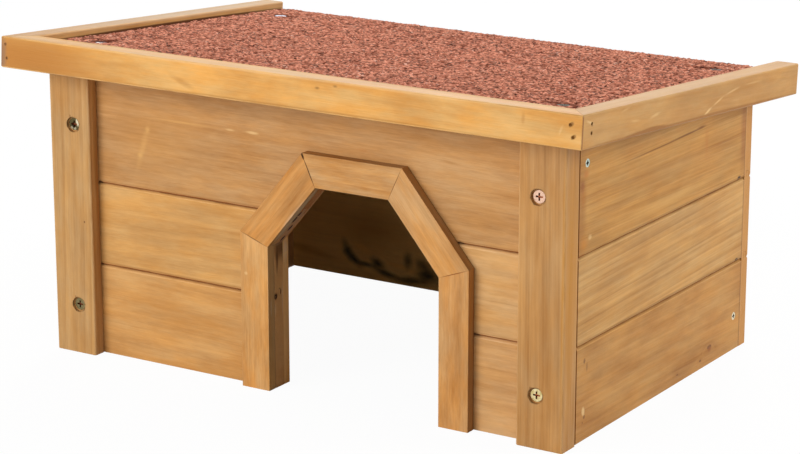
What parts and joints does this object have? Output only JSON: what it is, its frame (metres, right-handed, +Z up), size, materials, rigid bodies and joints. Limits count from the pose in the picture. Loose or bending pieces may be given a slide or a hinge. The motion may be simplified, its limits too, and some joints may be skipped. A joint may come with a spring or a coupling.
{
  "type": "small pet house",
  "caption": "Wooden house for small pets: planked walls, an arched mitred doorway, proud corner battens and a sloping felted roof with raised edge boards.",
  "frame": {"origin": "on the floor, under the middle of the roof's outline seen from above", "axes": "+X to the right along the front wall, +Y from the front to the rear, +Z up; the doorway faces -Y"},
  "size_m": [0.4222, 0.2942, 0.2112],
  "materials": {
    "glazed_softwood": "honey-coloured glaze, satin",
    "roof_panel_wood": "raw board, matt",
    "mineral_felt": "red-brown mineral granules on roofing felt",
    "yellow_zinc_steel": "yellow zinc plated",
    "bright_zinc_steel": "bright zinc plated",
    "brad_steel": "dull, slightly darkened"
  },
  "bodies": {
    "root": {"doorway_backing_left_leg": "glazed_softwood", "doorway_backing_left_slope": "glazed_softwood", "doorway_backing_right_leg": "glazed_softwood", "doorway_backing_right_slope": "glazed_softwood", "doorway_backing_top": "glazed_softwood", "doorway_brads": "brad_steel", "doorway_trim_left_leg": "glazed_softwood", "doorway_trim_left_slope": "glazed_softwood", "doorway_trim_right_leg": "glazed_softwood", "doorway_trim_right_slope": "glazed_softwood", "doorway_trim_top": "glazed_softwood", "front_batten_left": "glazed_softwood", "front_batten_right": "glazed_softwood", "front_batten_screws": "yellow_zinc_steel", "front_left_corner_post": "glazed_softwood", "front_plank_bottom_left": "glazed_softwood", "front_plank_bottom_right": "glazed_softwood", "front_plank_middle_left": "glazed_softwood", "front_plank_middle_right": "glazed_softwood", "front_plank_top": "glazed_softwood", "front_right_corner_post": "glazed_softwood", "left_plank_bottom": "glazed_softwood", "left_plank_middle": "glazed_softwood", "left_plank_top": "glazed_softwood", "rear_left_corner_post": "glazed_softwood", "rear_plank_bottom": "glazed_softwood", "rear_plank_middle": "glazed_softwood", "rear_plank_top": "glazed_softwood", "rear_right_corner_post": "glazed_softwood", "rear_wall_screws": "bright_zinc_steel", "right_plank_bottom": "glazed_softwood", "right_plank_middle": "glazed_softwood", "right_plank_top": "glazed_softwood", "roof_edge_board_front": "glazed_softwood", "roof_edge_board_left": "glazed_softwood", "roof_edge_board_right": "glazed_softwood", "roof_edge_brads": "brad_steel", "roof_felt": "mineral_felt", "roof_panel": "roof_panel_wood", "roof_screws": "bright_zinc_steel", "side_wall_brads": "brad_steel", "side_wall_screws": "bright_zinc_steel"}
  },
  "joints": []
}
